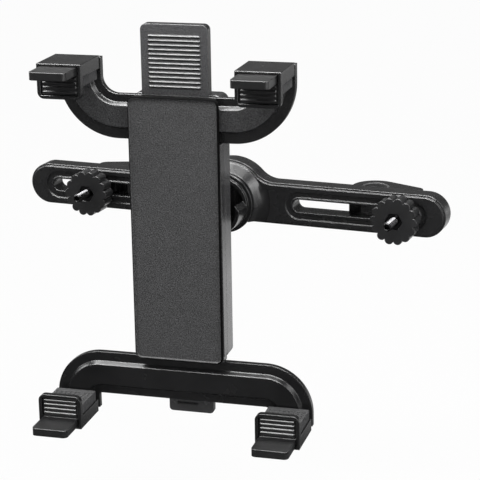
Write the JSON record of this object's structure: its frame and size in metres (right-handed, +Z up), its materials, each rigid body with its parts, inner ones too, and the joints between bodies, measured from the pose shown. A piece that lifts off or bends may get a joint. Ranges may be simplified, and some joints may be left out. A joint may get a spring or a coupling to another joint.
{
  "type": "headrest tablet mount",
  "caption": "Black car headrest mount for a tablet: a slotted bar with post clamps, a swivel head and a spine with four adjustable claws.",
  "frame": {"origin": "centre of the pad's front face, where the tablet's back rests", "axes": "+X to the right as seen facing the pad, +Y to the back towards the headrest, +Z up"},
  "size_m": [0.2429, 0.1446, 0.2126],
  "materials": {
    "plastic": "fine satin",
    "cover": "satin",
    "pad": "fine leather grain",
    "rubber": "rough matt",
    "black_nickel": "polished"
  },
  "bodies": {
    "bar": {"headrest_bar": "plastic"},
    "swivel": {"swivel_head": "plastic", "hinge_pin": "black_nickel", "hub_washer": "black_nickel", "hub_screw": "black_nickel"},
    "holder": {"neck": "plastic", "neck_screws": "black_nickel", "rear_housing": "plastic", "housing_screws": "black_nickel", "front_cover": "cover", "pad": "pad"},
    "upper_slide": {"upper_yoke": "plastic", "upper_grip_left": "rubber", "upper_grip_right": "rubber"},
    "lower_slide": {"lower_yoke": "plastic", "lower_grip_left": "rubber", "lower_grip_right": "rubber"},
    "tab_upper_left": {"upper_tab_left": "plastic"},
    "tab_upper_right": {"upper_tab_right": "plastic"},
    "tab_lower_left": {"lower_tab_left": "plastic"},
    "tab_lower_right": {"lower_tab_right": "plastic"},
    "release": {"release_slider": "cover", "release_spring": "black_nickel"},
    "clamp_right": {"hook_right": "plastic", "liner_right": "rubber", "stud_right_bolt": "black_nickel", "washer_right": "plastic"},
    "clamp_left": {"hook_left": "plastic", "liner_left": "rubber", "stud_left_bolt": "black_nickel", "washer_left": "plastic"},
    "knob_r": {"knob_right": "plastic", "nut_right": "black_nickel"},
    "knob_l": {"knob_left": "plastic", "nut_left": "black_nickel"}
  },
  "joints": [
    {"name": "swivel_turn", "type": "hinge", "parent": "bar", "child": "swivel", "pos_m": [0.0092, 0.068, 0], "axis": [0.108, 0.9942, 0], "continuous": true},
    {"name": "tilt", "type": "hinge", "parent": "swivel", "child": "holder", "pos_m": [0.00779, 0.05498, 0], "axis": [0, 0, 1], "range_deg": [-20, 12]},
    {"name": "upper_adjust", "type": "slide", "parent": "holder", "child": "upper_slide", "axis": [0, 0, 1], "range_m": [0, 0.04]},
    {"name": "lower_adjust", "type": "slide", "parent": "holder", "child": "lower_slide", "axis": [0, 0, -1], "range_m": [0, 0.04]},
    {"name": "tab_upper_left_pull", "type": "slide", "parent": "upper_slide", "child": "tab_upper_left", "axis": [0, -1, 0], "range_m": [0, 0.007]},
    {"name": "tab_upper_right_pull", "type": "slide", "parent": "upper_slide", "child": "tab_upper_right", "axis": [0, -1, 0], "range_m": [0, 0.007]},
    {"name": "tab_lower_left_pull", "type": "slide", "parent": "lower_slide", "child": "tab_lower_left", "axis": [0, -1, 0], "range_m": [0, 0.007]},
    {"name": "tab_lower_right_pull", "type": "slide", "parent": "lower_slide", "child": "tab_lower_right", "axis": [0, -1, 0], "range_m": [0, 0.007]},
    {"name": "release_press", "type": "slide", "parent": "holder", "child": "release", "axis": [0, 0, 1], "range_m": [0, 0.004], "stiffness_N_per_m": 300, "springref_m": -0.001, "deforming": ["release_spring"]},
    {"name": "clamp_right_slide", "type": "slide", "parent": "bar", "child": "clamp_right", "axis": [0.9942, -0.108, 0], "range_m": [-0.048, 0.004]},
    {"name": "clamp_left_slide", "type": "slide", "parent": "bar", "child": "clamp_left", "axis": [0.9942, -0.108, 0], "range_m": [-0.022, 0.031]},
    {"name": "knob_right_turn", "type": "hinge", "parent": "clamp_right", "child": "knob_r", "pos_m": [0.10526, 0.04851, 0], "axis": [0.108, 0.9942, 0], "continuous": true},
    {"name": "knob_left_turn", "type": "hinge", "parent": "clamp_left", "child": "knob_l", "pos_m": [-0.0713, 0.06769, 0], "axis": [0.108, 0.9942, 0], "continuous": true}
  ]
}
